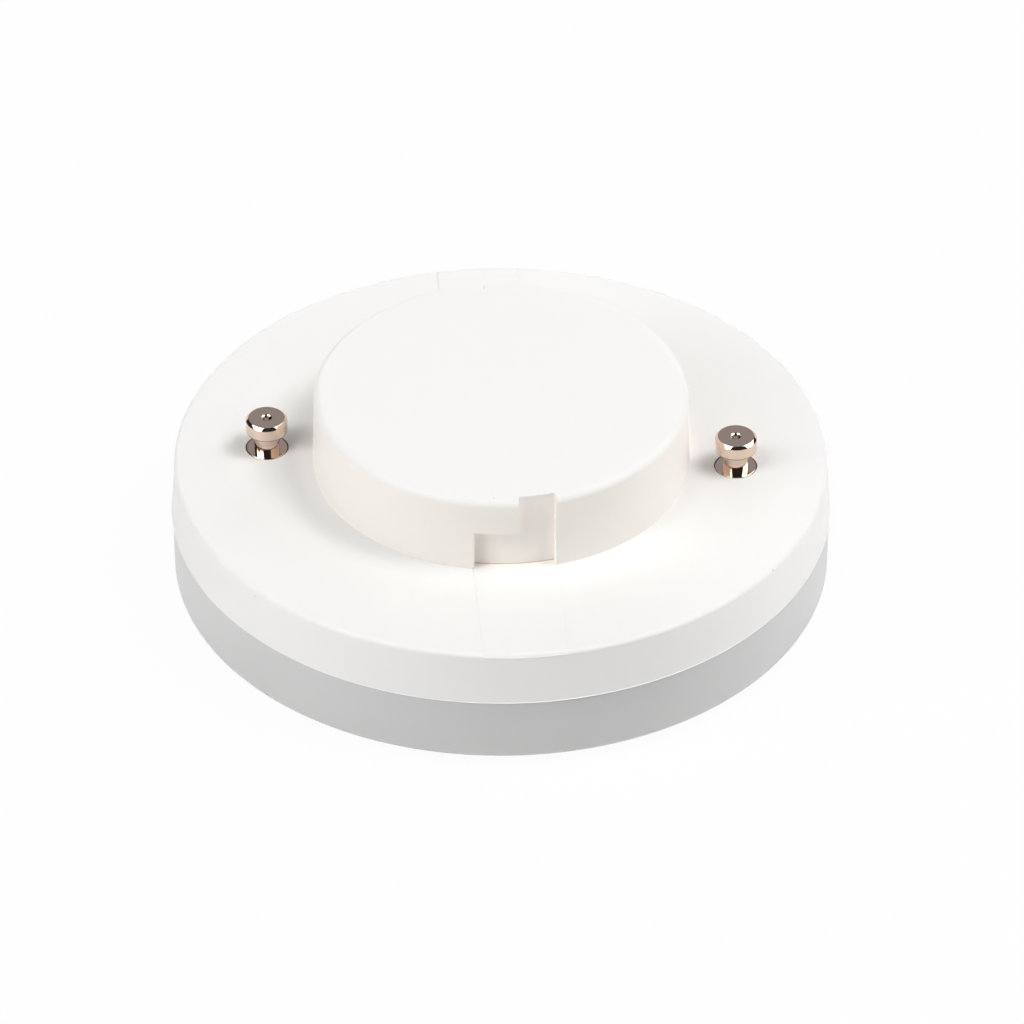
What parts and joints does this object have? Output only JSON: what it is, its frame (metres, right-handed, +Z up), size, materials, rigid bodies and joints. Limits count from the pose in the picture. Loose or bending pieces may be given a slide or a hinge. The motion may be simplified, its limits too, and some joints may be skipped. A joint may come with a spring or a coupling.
{
  "type": "led disc lamp",
  "caption": "Flat round LED lamp with an opal diffuser, a white plastic housing, a raised centre boss with twist keyways, and metal contact pins.",
  "frame": {"origin": "centre of the diffuser's flat underside, on the lamp's axis", "axes": "+Z up along the lamp's axis towards the boss and pins; +X from the axis to the right contact pin; the keyways of the boss face -Y and +Y"},
  "size_m": [0.0746, 0.0746, 0.0247],
  "materials": {
    "white_plastic": "satin moulded white polycarbonate",
    "opal_plastic": "satin translucent opal polycarbonate",
    "nickel_plate": "polished bright nickel plate",
    "tinned_brass": "dull tin plate over brass",
    "natural_nylon": "uncoloured moulded nylon",
    "aluminium": "pressed sheet, as rolled",
    "white_mask": "aluminium board with a white solder mask",
    "board_laminate": "green solder mask on laminate",
    "capacitor_sleeve": "shrunk dark blue sleeve",
    "yellow_case": "moulded yellow case",
    "green_lacquer": "green lacquer on a ceramic rod",
    "blue_coating": "dipped blue coating on a ceramic disc",
    "black_epoxy": "moulded black epoxy",
    "red_insulation": "extruded red insulation",
    "white_insulation": "extruded white insulation",
    "ferrite": "sintered dark grey ferrite",
    "copper": "lacquered copper wire",
    "zinc_plate": "bright zinc plate on steel",
    "led_case": "white case with a yellow phosphor window"
  },
  "bodies": {
    "root": {"housing": "white_plastic", "diffuser": "opal_plastic", "contact_pin_right": "nickel_plate", "contact_pin_left": "nickel_plate", "solder_tag_right": "tinned_brass", "solder_tag_left": "tinned_brass", "insulator_tray": "natural_nylon", "heat_spreader": "aluminium", "led_board": "white_mask", "driver_board": "board_laminate", "input_capacitor": "capacitor_sleeve", "output_capacitor": "capacitor_sleeve", "film_capacitor": "yellow_case", "fusible_resistor": "green_lacquer", "varistor": "blue_coating", "bridge_rectifier": "black_epoxy", "driver_chip": "black_epoxy", "diode": "black_epoxy", "input_lead_right": "red_insulation", "input_lead_left": "white_insulation", "output_lead_positive": "red_insulation", "output_lead_negative": "white_insulation", "choke_core": "ferrite", "choke_winding": "copper", "board_screw_1": "zinc_plate", "board_screw_2": "zinc_plate", "board_screw_3": "zinc_plate", "chip_resistor_1": "black_epoxy", "chip_resistor_2": "black_epoxy", "chip_resistor_3": "black_epoxy", "chip_resistor_4": "black_epoxy", "led_01": "led_case", "led_02": "led_case", "led_03": "led_case", "led_04": "led_case", "led_05": "led_case", "led_06": "led_case", "led_07": "led_case", "led_08": "led_case", "led_09": "led_case", "led_10": "led_case", "led_11": "led_case", "led_12": "led_case", "led_13": "led_case", "led_14": "led_case", "led_15": "led_case", "led_16": "led_case", "led_17": "led_case", "led_18": "led_case"}
  },
  "joints": []
}
